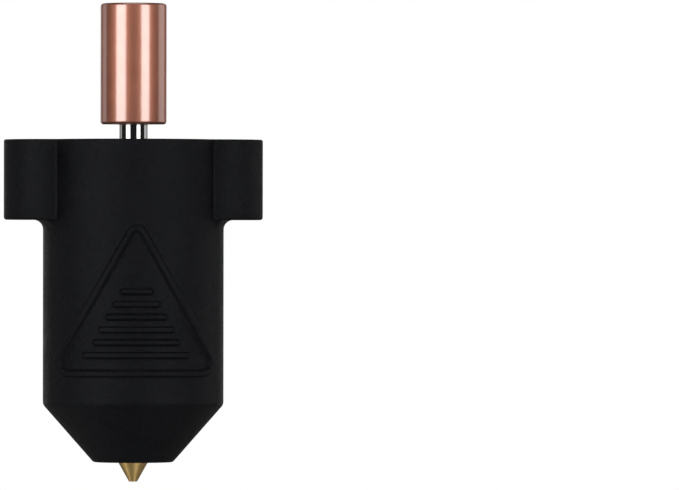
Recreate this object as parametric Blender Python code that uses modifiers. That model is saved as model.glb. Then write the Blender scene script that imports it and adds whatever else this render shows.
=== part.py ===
"""Hotend assembly for a desktop 3D printer.

A copper cooling tube and a thin steel throat stand on a heater core that is wrapped by a ceramic ring heater.
A mounting flange with two threaded posts carries the core, and a silicone sock is pulled over all of it from
below.

Frame: +Z up, towards the cooling tube; the origin is on the tube's axis, level with the posts' tops and the
sock's rim; -Y is the sock's patterned front; the ears point along X. Dimensions below are in millimetres.
"""

import math

import bmesh
import bpy
from mathutils import Matrix, Vector

MM = 0.001

# Driving dimensions
TUBE_R = 3.5
TUBE_BOTTOM_Z = 1.6
TUBE_TOP_Z = 14.4
THROAT_R = 1.5
THROAT_TOP_Z = 10.0
FILAMENT_BORE_R = 1.0
SOCK_R = 9.55
SOCK_BOTTOM_Z = -34.1
SOCK_BOTTOM_R = 4.2
SOCK_CONE_Z = -28.0
SOCK_CAVITY_R = 8.0
SOCK_WALL = 1.45
SOCK_OPENING_R = 3.65
EAR_HALF_LENGTH = 13.7
EAR_HALF_WIDTH = 4.8
EAR_TOP_Z = -0.02
EAR_BOTTOM_Z = -8.5
EAR_WALL = 1.4
POST_X = EAR_HALF_LENGTH - EAR_HALF_WIDTH
POST_R = 2.4
PLATE_TOP_Z = -4.8
PLATE_THICKNESS = 2.0
CORE_TOP_Z = -7.9
CORE_FLANGE_R = 7.7
CORE_FLANGE_THICKNESS = 3.4
CORE_BOTTOM_Z = -28.55
CORE_SLEEVE_R = 4.5
HEATER_R = 6.3
CAN_THICKNESS = 0.4
SLIT_HEIGHT = 7.0
M6_R = 2.95
NOZZLE_TIP_Z = -36.15
NOZZLE_TIP_R = 0.43
NOZZLE_HEX_AF = 6.0
NOZZLE_CONE_ANGLE = math.radians(29.2)
LEAD_NOTCH_HALF_WIDTH = 3.0
LEAD_NOTCH_DEPTH = 5.2
REAR_NOTCH_HALF_WIDTH = 2.6
REAR_NOTCH_FLOOR_Y = 5.6
RELIEF_HEIGHT = 0.3
BEAD_APEX_Z = -7.9
BEAD_BASE_Z = -24.95
BEAD_HALF_BASE = 9.48
BEAD_APEX_R = 1.1
BEAD_FOOT_R = 1.5
BEAD_WIDTH = 0.65
RIB_LENGTHS = (11.2, 9.0, 7.9, 6.4, 4.9, 3.4)
RIB_FIRST_Z = -22.72
RIB_PITCH = 1.34
RIB_WIDTH = 0.57

# Clearances
SEAT_GAP = 0.05
SLIDE_GAP = 0.1
M2_R = 0.95
M2_HOLE_R = 1.05

# Levels that follow from the dimensions above
PLATE_BOTTOM_Z = PLATE_TOP_Z - PLATE_THICKNESS
CORE_FLANGE_BOTTOM_Z = CORE_TOP_Z - CORE_FLANGE_THICKNESS
WASHER_THICKNESS = 0.6
HEATER_LENGTH = 12.5
HEATER_TOP_Z = CORE_FLANGE_BOTTOM_Z - WASHER_THICKNESS - 2 * SEAT_GAP
HEATER_BOTTOM_Z = HEATER_TOP_Z - HEATER_LENGTH
NUT_TOP_Z = HEATER_BOTTOM_Z - WASHER_THICKNESS - 2 * SEAT_GAP
NUT_BOTTOM_Z = CORE_BOTTOM_Z + SEAT_GAP
HEX_TOP_Z = -28.9
HEX_BOTTOM_Z = -31.9
SHANK_TOP_Z = -21.4
FOOT_BOTTOM_Z = -15.5
FOOT_COLLAR_R = 3.2
THROAT_BOTTOM_Z = -13.0
M6_BORE_R = M6_R + SLIDE_GAP
SCREW_CIRCLE_R = 4.75
SENSOR_X = 4.3
SENSOR_Z = CORE_FLANGE_BOTTOM_Z + CORE_FLANGE_THICKNESS / 2
SENSOR_R = 0.85
SENSOR_BORE_R = 0.9
SENSOR_INNER_Y = 1.7
GRUB_Y = 3.9

SEGMENTS_LARGE = 72
SEGMENTS_MEDIUM = 48
SEGMENTS_SMALL = 40
SEGMENTS_POST = 36
SEGMENTS_SCREW = 20

# Directions for pieces and holes that are turned round Z and then placed
UPRIGHT = Matrix.Identity(4)
ALONG_X = Matrix.Rotation(math.radians(90), 4, "Y")
ALONG_Y = Matrix.Rotation(math.radians(-90), 4, "X")

for leftover in list(bpy.data.objects):
    bpy.data.objects.remove(leftover, do_unlink=True)

parts = bpy.data.collections.new("hotend_assembly")
bpy.context.scene.collection.children.link(parts)
cutters = bpy.data.collections.new("cutters")
bpy.context.scene.collection.children.link(cutters)


# --- materials ------------------------------------------------------------------------------------

def material(name, colour, roughness, metallic):
    made = bpy.data.materials.new(name)
    made.use_nodes = True
    shader = made.node_tree.nodes["Principled BSDF"]
    shader.inputs["Base Color"].default_value = (*colour, 1.0)
    shader.inputs["Roughness"].default_value = roughness
    shader.inputs["Metallic"].default_value = metallic
    return made


COPPER = material("copper", (0.78, 0.42, 0.30), 0.22, 1.0)
STEEL = material("steel", (0.62, 0.61, 0.60), 0.2, 1.0)
PLATE_STEEL = material("plate_steel", (0.50, 0.50, 0.50), 0.35, 1.0)
BLACK_STEEL = material("black_steel", (0.06, 0.06, 0.065), 0.4, 1.0)
NICKEL = material("nickel", (0.66, 0.63, 0.58), 0.3, 1.0)
BRASS = material("brass", (0.78, 0.58, 0.25), 0.25, 1.0)
CERAMIC = material("ceramic", (0.86, 0.84, 0.80), 0.55, 0.0)
MICA = material("mica", (0.52, 0.44, 0.33), 0.6, 0.0)
WOOL = material("ceramic_wool", (0.80, 0.77, 0.70), 0.95, 0.0)
SILICONE = material("silicone", (0.012, 0.012, 0.013), 0.62, 0.0)


# --- helpers --------------------------------------------------------------------------------------

def finish_mesh(obj, surface):
    """Give an object its material and smooth shading with sharp corners."""
    obj.data.materials.clear()
    obj.data.materials.append(surface)
    obj.data.shade_smooth()
    obj.data.set_sharp_from_angle(angle=math.radians(35))
    return obj


def new_object(name, mesh, collection=parts):
    obj = bpy.data.objects.new(name, mesh)
    collection.objects.link(obj)
    if collection is cutters:
        obj.hide_render = True
        obj.display_type = "WIRE"
    return obj


def applied(obj):
    """Replace an object's mesh by its evaluated one, so that later cuts see plain geometry."""
    bpy.context.view_layer.update()
    evaluated = obj.evaluated_get(bpy.context.evaluated_depsgraph_get())
    mesh = bpy.data.meshes.new_from_object(evaluated)
    mesh.name = obj.name
    obj.modifiers.clear()
    obj.data = mesh
    return obj


def turned(name, profile, surface=None, segments=SEGMENTS_SMALL, collection=parts):
    """Turn a closed (radius, z) profile round Z. It runs down its outer side first, top to bottom."""
    mesh = bpy.data.meshes.new(name)
    shape = bmesh.new()
    points = [shape.verts.new((r * MM, 0.0, z * MM)) for r, z in profile]
    on_axis = profile[0][0] == 0 and profile[-1][0] == 0
    for first, second in zip(points, points[1:]):
        shape.edges.new((first, second))
    if not on_axis:
        shape.edges.new((points[-1], points[0]))
    shape.to_mesh(mesh)
    shape.free()
    obj = new_object(name, mesh, collection)
    screw = obj.modifiers.new("turn", "SCREW")
    screw.axis = "Z"
    screw.angle = math.tau
    screw.steps = segments
    screw.render_steps = segments
    screw.use_merge_vertices = True
    screw.merge_threshold = 0.000001
    applied(obj)
    if surface:
        finish_mesh(obj, surface)
    return obj


def arc(centre, radius, start_deg, end_deg, count):
    """Points on an arc, both ends included."""
    points = []
    for step in range(count + 1):
        angle = math.radians(start_deg + (end_deg - start_deg) * step / count)
        points.append((centre[0] + radius * math.cos(angle), centre[1] + radius * math.sin(angle)))
    return points


def circle(centre, radius, segments=SEGMENTS_SCREW):
    return arc(centre, radius, 0, 360, segments)[:-1]


def extruded(name, outlines, low, high, surface=None, collection=parts):
    """Extrude flat outlines (the first is outside, the others are holes) from z = low to z = high."""
    curve = bpy.data.curves.new(name, "CURVE")
    curve.dimensions = "2D"
    curve.fill_mode = "BOTH"
    curve.extrude = (high - low) / 2 * MM
    for outline in outlines:
        spline = curve.splines.new("POLY")
        spline.points.add(len(outline) - 1)
        spline.use_cyclic_u = True
        for point, (x, y) in zip(spline.points, outline):
            point.co = (x * MM, y * MM, 0.0, 1.0)
    drawn = bpy.data.objects.new(name + "_curve", curve)
    bpy.context.scene.collection.objects.link(drawn)
    bpy.context.view_layer.update()
    evaluated = drawn.evaluated_get(bpy.context.evaluated_depsgraph_get())
    mesh = bpy.data.meshes.new_from_object(evaluated)
    mesh.name = name
    mesh.transform(Matrix.Translation((0.0, 0.0, (low + high) / 2 * MM)))
    weld = bmesh.new()
    weld.from_mesh(mesh)
    bmesh.ops.remove_doubles(weld, verts=weld.verts, dist=0.000001)
    bmesh.ops.recalc_face_normals(weld, faces=weld.faces)
    weld.to_mesh(mesh)
    weld.free()
    obj = new_object(name, mesh, collection)
    obj.matrix_world = drawn.matrix_world
    bpy.data.objects.remove(drawn, do_unlink=True)
    if surface:
        finish_mesh(obj, surface)
    return obj


def turned_about(obj, rotation, offset):
    """Turn an object's mesh by rotation, then move it by offset in millimetres."""
    obj.data.transform(Matrix.Translation(Vector(offset) * MM) @ rotation)
    return obj


def boolean(obj, other, operation):
    """Join, cut or intersect with another object, which is kept as a cutter."""
    step = obj.modifiers.new(operation.lower() + "_" + other.name, "BOOLEAN")
    step.operation = operation
    step.object = other
    return obj


def box(name, low, high, collection=cutters):
    shape = bmesh.new()
    bmesh.ops.create_cube(shape, size=1.0)
    size = [(b - a) * MM for a, b in zip(low, high)]
    centre = [(a + b) / 2 * MM for a, b in zip(low, high)]
    bmesh.ops.scale(shape, vec=size, verts=shape.verts)
    bmesh.ops.translate(shape, vec=centre, verts=shape.verts)
    mesh = bpy.data.meshes.new(name)
    shape.to_mesh(mesh)
    shape.free()
    return new_object(name, mesh, collection)


def rounded_rim(radius, z, roundness, towards, count=2):
    """Profile points that round an outer corner: towards is 1 at a top edge and -1 at a bottom edge."""
    points = []
    for step in range(count + 1):
        angle = math.radians(90 * step / count)
        if towards > 0:
            points.append((radius - roundness + roundness * math.sin(angle),
                           z - roundness + roundness * math.cos(angle)))
        else:
            points.append((radius - roundness + roundness * math.cos(angle),
                           z + roundness - roundness * math.sin(angle)))
    return points


# --- cooling tube and throat ----------------------------------------------------------------------

def cooling_tube():
    bore = THROAT_R + SEAT_GAP
    seat_z = THROAT_TOP_Z + SEAT_GAP
    entry_r = 1.9
    entry_depth = 1.6
    rim_rounding = 0.3
    chamfer = 0.2
    profile = rounded_rim(TUBE_R, TUBE_TOP_Z, rim_rounding, 1)
    profile += rounded_rim(TUBE_R, TUBE_BOTTOM_Z, rim_rounding, -1)
    profile += [(bore + chamfer, TUBE_BOTTOM_Z), (bore, TUBE_BOTTOM_Z + chamfer), (bore, seat_z),
                (FILAMENT_BORE_R, seat_z), (FILAMENT_BORE_R, TUBE_TOP_Z - entry_depth),
                (entry_r, TUBE_TOP_Z)]
    turned("cooling_tube", profile, COPPER)


def throat_tube():
    chamfer = 0.15
    profile = [(THROAT_R - chamfer, THROAT_TOP_Z), (THROAT_R, THROAT_TOP_Z - chamfer),
               (THROAT_R, THROAT_BOTTOM_Z), (FILAMENT_BORE_R, THROAT_BOTTOM_Z),
               (FILAMENT_BORE_R, THROAT_TOP_Z)]
    turned("throat_tube", profile, STEEL)


def heat_break_foot():
    collar_top = CORE_TOP_Z + 0.85
    collar_bottom = CORE_TOP_Z + SEAT_GAP
    bore = THROAT_R + SEAT_GAP
    step = THROAT_BOTTOM_Z - SEAT_GAP
    chamfer = 0.4
    slot_half_width = 0.5
    slot_depth = 0.5
    slot_reach = 5
    profile = [(FOOT_COLLAR_R, collar_top), (FOOT_COLLAR_R, collar_bottom), (M6_R, collar_bottom),
               (M6_R, FOOT_BOTTOM_Z + chamfer), (M6_R - chamfer, FOOT_BOTTOM_Z),
               (FILAMENT_BORE_R, FOOT_BOTTOM_Z), (FILAMENT_BORE_R, step), (bore, step), (bore, collar_top)]
    obj = turned("heat_break_foot", profile, NICKEL)
    slot = box("foot_driver_slot", (-slot_reach, -slot_half_width, collar_top - slot_depth),
               (slot_reach, slot_half_width, collar_top + slot_depth))
    boolean(obj, slot, "DIFFERENCE")


# --- heater core and what is round it -------------------------------------------------------------

def screw_places():
    """Where the three flange screws stand: front, left and right, so that the rear stays free for leads."""
    return {"front": (0.0, -SCREW_CIRCLE_R), "left": (-SCREW_CIRCLE_R, 0.0), "right": (SCREW_CIRCLE_R, 0.0)}


def rear_notch_cutter(name, floor_y, low, high):
    half = REAR_NOTCH_HALF_WIDTH
    return box(name, (-half, floor_y, low), (half, SOCK_R, high))


def bored(obj, name, radius, length, direction, start):
    """Cut a round hole of the given length into obj, from start along direction."""
    tool = turned(name, [(0, length), (radius, length), (radius, 0), (0, 0)], segments=SEGMENTS_SCREW,
                  collection=cutters)
    boolean(obj, turned_about(tool, direction, start), "DIFFERENCE")


def heater_core():
    shank_step = SHANK_TOP_Z + SLIDE_GAP
    foot_step = FOOT_BOTTOM_Z - SLIDE_GAP
    chamfer = 0.2
    sleeve_chamfer = 0.3
    screw_hole_depth = 2.7
    past_surface = 1
    profile = [(CORE_FLANGE_R - chamfer, CORE_TOP_Z), (CORE_FLANGE_R, CORE_TOP_Z - chamfer),
               (CORE_FLANGE_R, CORE_FLANGE_BOTTOM_Z + chamfer),
               (CORE_FLANGE_R - chamfer, CORE_FLANGE_BOTTOM_Z), (CORE_SLEEVE_R, CORE_FLANGE_BOTTOM_Z),
               (CORE_SLEEVE_R, CORE_BOTTOM_Z + sleeve_chamfer),
               (CORE_SLEEVE_R - sleeve_chamfer, CORE_BOTTOM_Z), (M6_BORE_R, CORE_BOTTOM_Z),
               (M6_BORE_R, shank_step), (FILAMENT_BORE_R, shank_step), (FILAMENT_BORE_R, foot_step),
               (M6_BORE_R, foot_step), (M6_BORE_R, CORE_TOP_Z)]
    obj = turned("heater_core", profile, NICKEL, SEGMENTS_MEDIUM)
    for side, (x, y) in screw_places().items():
        bored(obj, "core_hole_" + side, M2_HOLE_R, screw_hole_depth + past_surface, UPRIGHT,
              (x, y, CORE_TOP_Z - screw_hole_depth))
    bored(obj, "core_sensor_bore", SENSOR_BORE_R, SOCK_R - SENSOR_INNER_Y, ALONG_Y,
          (SENSOR_X, SENSOR_INNER_Y, SENSOR_Z))
    bored(obj, "core_grub_bore", M2_HOLE_R, SOCK_R - SENSOR_X, ALONG_X, (SENSOR_X, GRUB_Y, SENSOR_Z))
    notch = rear_notch_cutter("core_rear_notch", HEATER_R - 0.15, CORE_FLANGE_BOTTOM_Z - 0.5,
                              CORE_TOP_Z + 0.5)
    boolean(obj, notch, "DIFFERENCE")


def ring(name, inner, outer, low, high, surface, edge=0.0):
    """A plain ring, or one with its four rims chamfered by edge."""
    profile = [(outer, high), (outer, low), (inner, low), (inner, high)]
    if edge:
        profile = [(outer - edge, high), (outer, high - edge), (outer, low + edge), (outer - edge, low),
                   (inner + edge, low), (inner, low + edge), (inner, high - edge), (inner + edge, high)]
    return turned(name, profile, surface)


def heater_stack():
    """Washer, heater and washer on the core's sleeve, then the wrap and the can, both slit at the rear."""
    inner = CORE_SLEEVE_R + SEAT_GAP
    can_inner_r = CORE_FLANGE_R - CAN_THICKNESS
    seat_z = NUT_TOP_Z + SEAT_GAP
    slit_y = HEATER_R - 2
    slit_bottom = NUT_TOP_Z + SLIT_HEIGHT
    slit_top = CORE_FLANGE_BOTTOM_Z + 1
    ceramic_chamfer = 0.25
    ring("upper_washer", inner, HEATER_R, HEATER_TOP_Z + SEAT_GAP, CORE_FLANGE_BOTTOM_Z - SEAT_GAP, MICA)
    ring("ceramic_heater", inner, HEATER_R, HEATER_BOTTOM_Z, HEATER_TOP_Z, CERAMIC, ceramic_chamfer)
    ring("lower_washer", inner, HEATER_R, seat_z, HEATER_BOTTOM_Z - SEAT_GAP, MICA)
    wrap = ring("insulation_sleeve", HEATER_R + SEAT_GAP, can_inner_r - SEAT_GAP, seat_z, HEATER_TOP_Z, WOOL)
    boolean(wrap, rear_notch_cutter("wrap_slit", slit_y, slit_bottom, slit_top), "DIFFERENCE")
    can = ring("heater_shell", can_inner_r, CORE_FLANGE_R, seat_z, CORE_FLANGE_BOTTOM_Z - SEAT_GAP, STEEL)
    boolean(can, rear_notch_cutter("can_slit", slit_y, slit_bottom, slit_top), "DIFFERENCE")


def heater_terminals():
    """Two flat strips that rise from the heater's rear through the slits to the core flange's notch."""
    half_width = 0.6
    thickness = 0.3
    near_y = HEATER_R + 0.1
    low_z = HEATER_TOP_Z - 5
    high_z = CORE_TOP_Z - 1.2
    for side, x in (("left", -1.4), ("right", 1.4)):
        strip = box("heater_terminal_" + side, (x - half_width, near_y, low_z),
                    (x + half_width, near_y + thickness, high_z), parts)
        rounding = strip.modifiers.new("rounding", "BEVEL")
        rounding.width = 0.08 * MM
        rounding.segments = 2
        finish_mesh(strip, NICKEL)


def heater_retaining_nut():
    rim = CORE_FLANGE_R - 0.1
    bore = CORE_SLEEVE_R + SEAT_GAP
    chamfer_width = 0.95
    chamfer_height = 1.1
    slot_half_width = 1.0
    slot_depth = 0.8
    slot_reach = 9.0
    profile = [(rim, NUT_TOP_Z), (rim, NUT_BOTTOM_Z + chamfer_height), (rim - chamfer_width, NUT_BOTTOM_Z),
               (bore, NUT_BOTTOM_Z), (bore, NUT_TOP_Z)]
    obj = turned("heater_retaining_nut", profile, NICKEL, SEGMENTS_MEDIUM)
    for name, x, y in (("along_y", slot_half_width, slot_reach), ("along_x", slot_reach, slot_half_width)):
        slot = box("nut_slots_" + name, (-x, -y, NUT_BOTTOM_Z - 1), (x, y, NUT_BOTTOM_Z + slot_depth))
        boolean(obj, slot, "DIFFERENCE")


def rim_depth(x):
    """How far the core's flange reaches from its middle at a distance x to one side."""
    return math.sqrt(CORE_FLANGE_R ** 2 - x ** 2)


def sensor():
    """A round capsule that stands a little out of the core's rear, and the grub screw that holds it."""
    proud = 0.6
    chamfer = 0.15
    length = rim_depth(SENSOR_X + SENSOR_R) - SENSOR_INNER_Y + proud
    capsule = turned("thermistor_capsule", [(0, length), (SENSOR_R - chamfer, length),
                                            (SENSOR_R, length - chamfer), (SENSOR_R, 0.4),
                                            (SENSOR_R - 0.3, 0.1), (0, 0.1)], STEEL, SEGMENTS_SCREW)
    turned_about(capsule, ALONG_Y, (SENSOR_X, SENSOR_INNER_Y, SENSOR_Z))
    reach = rim_depth(GRUB_Y + M2_R) - SENSOR_X - SENSOR_BORE_R
    grub = turned("thermistor_grub_screw", [(0, reach), (M2_R - chamfer, reach), (M2_R, reach - chamfer),
                                            (M2_R, 0.2), (M2_R - 0.2, 0), (0, 0)],
                  BLACK_STEEL, SEGMENTS_SCREW)
    socket_size = 0.9
    socket_depth = 0.7
    socket = hexagon_prism("grub_socket", socket_size, reach - socket_depth, reach + 1, cutters)
    start = (SENSOR_X + SENSOR_BORE_R, GRUB_Y, SENSOR_Z)
    turned_about(grub, ALONG_X, start)
    turned_about(socket, ALONG_X, start)
    boolean(grub, socket, "DIFFERENCE")


def hexagon_prism(name, across_flats, low, high, collection):
    corner = across_flats / 2 / math.cos(math.radians(30))
    return extruded(name, [arc((0, 0), corner, 0, 300, 5)], low, high, collection=collection)


# --- mounting flange, posts and screws ------------------------------------------------------------

def notched_arc(radius, start_deg, count):
    """The rear half of a disc, from start_deg to its mirror angle, with the notch for the leads."""
    half = REAR_NOTCH_HALF_WIDTH
    edge_deg = math.degrees(math.acos(half / radius))
    right = arc((0, 0), radius, start_deg, edge_deg, count) + [(half, REAR_NOTCH_FLOOR_Y)]
    return right + [(-x, y) for x, y in reversed(right)]


def flange_outline():
    """A disc with two obround ears: the ears' straight sides meet the disc, the ends are half circles."""
    disc_r = CORE_FLANGE_R
    ear_r = EAR_HALF_WIDTH - EAR_WALL - 0.3
    meet = math.degrees(math.asin(ear_r / disc_r))
    outline = arc((POST_X, 0), ear_r, -90, 90, 12)
    outline += notched_arc(disc_r, meet, 8)
    outline += arc((-POST_X, 0), ear_r, 90, 270, 12)
    outline += arc((0, 0), disc_r, 180 + meet, 360 - meet, 24)
    return outline


def screw_holes():
    return [circle(place, M2_HOLE_R) for place in screw_places().values()]


def mounting_flange():
    throat_hole_r = 2.2
    post_hole_r = 2.0
    holes = [circle((0, 0), throat_hole_r, 32), circle((POST_X, 0), post_hole_r),
             circle((-POST_X, 0), post_hole_r)]
    extruded("mounting_flange", [flange_outline()] + holes + screw_holes(), PLATE_BOTTOM_Z, PLATE_TOP_Z,
             PLATE_STEEL)


def flange_insulator():
    outer_r = 7.0
    outline = notched_arc(outer_r, 0, 12) + arc((0, 0), outer_r, 180, 360, 24)[1:-1]
    collar_hole = circle((0, 0), FOOT_COLLAR_R + 0.15, 32)
    extruded("flange_insulator", [outline, collar_hole] + screw_holes(), CORE_TOP_Z + SEAT_GAP,
             PLATE_BOTTOM_Z - SEAT_GAP, MICA)


def posts():
    """Two threaded posts, each with a spigot pressed into the flange's ear; the thread is a plain hole."""
    thread_r = 1.25
    spigot_r = 1.95
    chamfer = 0.2
    entry = 0.25
    shoulder = PLATE_TOP_Z + SEAT_GAP
    spigot_end = PLATE_BOTTOM_Z + SEAT_GAP
    profile = [(POST_R - chamfer, 0), (POST_R, -chamfer), (POST_R, shoulder), (spigot_r, shoulder),
               (spigot_r, spigot_end), (thread_r, spigot_end), (thread_r, -entry), (thread_r + entry, 0)]
    for side, x in (("left", -POST_X), ("right", POST_X)):
        turned_about(turned("post_" + side, profile, PLATE_STEEL, SEGMENTS_POST), UPRIGHT, (x, 0, 0))


def flange_screws():
    head_r = 1.65
    head_height = 1.3
    head_chamfer = 0.3
    tip_chamfer = 0.2
    socket_size = 1.5
    socket_depth = 0.8
    head_bottom = PLATE_TOP_Z + SEAT_GAP
    head_top = head_bottom + head_height
    tip = CORE_TOP_Z - 2.5
    profile = [(0, head_top), (head_r - head_chamfer, head_top), (head_r, head_top - head_chamfer),
               (head_r, head_bottom), (M2_R, head_bottom), (M2_R, tip + tip_chamfer),
               (M2_R - tip_chamfer, tip), (0, tip)]
    for side, (x, y) in screw_places().items():
        screw = turned("flange_screw_" + side, profile, BLACK_STEEL, 24)
        socket = hexagon_prism("socket_" + side, socket_size, head_top - socket_depth, head_top + 1, cutters)
        turned_about(screw, UPRIGHT, (x, y, 0))
        turned_about(socket, UPRIGHT, (x, y, 0))
        boolean(screw, socket, "DIFFERENCE")


# --- nozzle ---------------------------------------------------------------------------------------

def nozzle():
    """A turned body with its bore, joined with a hexagon ring whose corners are chamfered."""
    cone_top_z = HEX_BOTTOM_Z + 0.3
    cone_top_r = NOZZLE_TIP_R + (cone_top_z - NOZZLE_TIP_Z) * math.tan(NOZZLE_CONE_ANGLE)
    orifice_r = 0.2
    orifice_length = 0.8
    taper_top = 2.4
    neck_r = M6_R - 0.35
    chamfer = 0.5
    profile = [(M6_R - chamfer, SHANK_TOP_Z), (M6_R, SHANK_TOP_Z - chamfer), (M6_R, HEX_TOP_Z + 0.6),
               (neck_r, HEX_TOP_Z + 0.3), (neck_r, HEX_TOP_Z - 0.5), (cone_top_r, cone_top_z),
               (NOZZLE_TIP_R, NOZZLE_TIP_Z), (orifice_r, NOZZLE_TIP_Z),
               (orifice_r, NOZZLE_TIP_Z + orifice_length), (FILAMENT_BORE_R, NOZZLE_TIP_Z + taper_top),
               (FILAMENT_BORE_R, SHANK_TOP_Z)]
    obj = turned("nozzle", profile, BRASS, SEGMENTS_POST)
    corner_r = NOZZLE_HEX_AF / 2 / math.cos(math.radians(30))
    belly_r = corner_r + 0.1
    end_r = corner_r - 1.2
    band = 0.3
    chamfer_profile = [(0, HEX_TOP_Z + 1), (end_r, HEX_TOP_Z + 1), (belly_r, HEX_TOP_Z - band),
                       (belly_r, HEX_BOTTOM_Z + band), (end_r, HEX_BOTTOM_Z - 1), (0, HEX_BOTTOM_Z - 1)]
    corner_cut = turned("hex_chamfer", chamfer_profile, segments=SEGMENTS_POST, collection=cutters)
    core_hole_r = 1.7
    hexagon = extruded("nozzle_hexagon", [arc((0, 0), corner_r, 0, 300, 5), circle((0, 0), core_hole_r, 24)],
                       HEX_BOTTOM_Z, HEX_TOP_Z, collection=cutters)
    boolean(hexagon, corner_cut, "INTERSECT")
    boolean(obj, hexagon, "UNION")


# --- silicone sock --------------------------------------------------------------------------------

def sock_body():
    """The sock's round wall: straight outside and inside, then a cone down to the opening for the nozzle."""
    slope = (SOCK_R - SOCK_BOTTOM_R) / (SOCK_CONE_Z - SOCK_BOTTOM_Z)
    inset = SOCK_WALL * math.sqrt(1 + slope ** 2)
    cone_top = SOCK_CONE_Z - (SOCK_R - inset - SOCK_CAVITY_R) / slope
    cone_bottom = SOCK_CONE_Z - (SOCK_R - inset - SOCK_OPENING_R) / slope
    outer = [(SOCK_R, 0), (SOCK_R, SOCK_CONE_Z + 0.2), (SOCK_R - 0.15, SOCK_CONE_Z - 0.2)]
    lip = [(SOCK_BOTTOM_R + 0.3, SOCK_BOTTOM_Z + 0.35), (SOCK_BOTTOM_R, SOCK_BOTTOM_Z)]
    inner = [(SOCK_OPENING_R, SOCK_BOTTOM_Z), (SOCK_OPENING_R, cone_bottom), (SOCK_CAVITY_R, cone_top),
             (SOCK_CAVITY_R, 0)]
    return turned("silicone_sock", outer + lip + inner, None, SEGMENTS_LARGE)


def sock_ear(side, direction):
    """One ear: a slab with a half-round end, rooted inside the round wall, with rounded rims."""
    root_r = (SOCK_CAVITY_R + SOCK_R) / 2
    meet = math.degrees(math.asin(EAR_HALF_WIDTH / root_r))
    outline = arc((POST_X, 0), EAR_HALF_WIDTH, -90, 90, 18) + arc((0, 0), root_r, meet, -meet, 8)
    outline = [(x * direction, y) for x, y in outline]
    ear = extruded("sock_ear_" + side, [outline], EAR_BOTTOM_Z, EAR_TOP_Z, collection=cutters)
    shape = bmesh.new()
    shape.from_mesh(ear.data)
    bmesh.ops.dissolve_limit(shape, angle_limit=math.radians(1), verts=shape.verts, edges=shape.edges)
    rims = [edge for edge in shape.edges if abs(edge.verts[0].co.z - edge.verts[1].co.z) < 1e-6]
    bmesh.ops.bevel(shape, geom=rims, offset=0.35 * MM, segments=2, profile=0.5, affect="EDGES")
    shape.to_mesh(ear.data)
    shape.free()
    return ear


def bead_outline(inset):
    """Outline of the triangular bead, apex up, in (x, z): round corners, and sides moved in by inset."""
    corners = [(Vector((0, BEAD_APEX_Z)), BEAD_APEX_R),
               (Vector((-BEAD_HALF_BASE, BEAD_BASE_Z)), BEAD_FOOT_R),
               (Vector((BEAD_HALF_BASE, BEAD_BASE_Z)), BEAD_FOOT_R)]
    points = []
    for index, (corner, radius) in enumerate(corners):
        before = (corners[index - 1][0] - corner).normalized()
        after = (corners[(index + 1) % 3][0] - corner).normalized()
        half_angle = before.angle(after) / 2
        inward = (before + after).normalized()
        centre = corner + inward * (radius / math.sin(half_angle))
        outward_deg = math.degrees(math.atan2(-inward.y, -inward.x))
        spread = 90 - math.degrees(half_angle)
        points += arc(centre, radius - inset, outward_deg - spread, outward_deg + spread, 5)
    return points


def rib_outline(row):
    """Outline of a rib with round ends, in (x, z). Row 0 is the lowest."""
    z = RIB_FIRST_Z + row * RIB_PITCH
    radius = RIB_WIDTH / 2
    half = RIB_LENGTHS[row] / 2 - radius
    return arc((half, z), radius, -90, 90, 4) + arc((-half, z), radius, 90, 270, 4)


def raised_on_front(name, outlines):
    """Flat outlines in (x, z), carried through the sock's front wall and trimmed to the relief's height."""
    raised = extruded(name, outlines, 3, 11, collection=cutters)
    raised.data.transform(Matrix.Rotation(math.radians(90), 4, "X"))
    trim_r = SOCK_R + RELIEF_HEIGHT
    root_r = (SOCK_CAVITY_R + SOCK_R) / 2
    trim_top = -6
    trim_bottom = SOCK_CONE_Z + 1
    trim = turned("trim_" + name, [(trim_r, trim_top), (trim_r, trim_bottom), (root_r, trim_bottom),
                                   (root_r, trim_top)], segments=SEGMENTS_LARGE, collection=cutters)
    boolean(raised, trim, "INTERSECT")
    return raised


def lead_notch_cutter():
    """The outlet for the leads: a slot with round lower corners through the rear wall's rim."""
    half = LEAD_NOTCH_HALF_WIDTH
    corner = 1.2
    floor = -LEAD_NOTCH_DEPTH + corner
    outline = [(half, 1), (-half, 1)]
    outline += arc((-half + corner, floor), corner, 180, 270, 4)
    outline += arc((half - corner, floor), corner, 270, 360, 4)
    notch = extruded("lead_notch", [outline], -12, -5, collection=cutters)
    notch.data.transform(Matrix.Rotation(math.radians(90), 4, "X"))
    return notch


def silicone_sock():
    sock = sock_body()
    boolean(sock, sock_ear("right", 1), "UNION")
    boolean(sock, sock_ear("left", -1), "UNION")
    boolean(sock, raised_on_front("bead", [bead_outline(0), bead_outline(BEAD_WIDTH)]), "UNION")
    for row in range(len(RIB_LENGTHS)):
        boolean(sock, raised_on_front("rib_%d" % row, [rib_outline(row)]), "UNION")
    pocket_r = EAR_HALF_WIDTH - EAR_WALL
    pocket_outline = arc((POST_X, 0), pocket_r, -90, 90, 14) + arc((-POST_X, 0), pocket_r, 90, 270, 14)
    boolean(sock, extruded("ear_pocket", [pocket_outline], EAR_BOTTOM_Z + EAR_WALL, 1, collection=cutters),
            "DIFFERENCE")
    boolean(sock, lead_notch_cutter(), "DIFFERENCE")
    finish_mesh(sock, SILICONE)


cooling_tube()
throat_tube()
heat_break_foot()
heater_core()
heater_stack()
heater_terminals()
heater_retaining_nut()
sensor()
flange_insulator()
mounting_flange()
posts()
flange_screws()
nozzle()
silicone_sock()
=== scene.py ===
"""Looks of the hotend assembly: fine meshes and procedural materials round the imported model, a pale
studio and a camera.

Lengths are millimetres. They are turned into metres where a mesh, lamp or camera is made. The frame is
the CAD's: +Z up the cooling tube, -Y the patterned front, and the origin on the axis in the plane of the
posts' tops.
"""

import math

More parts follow.
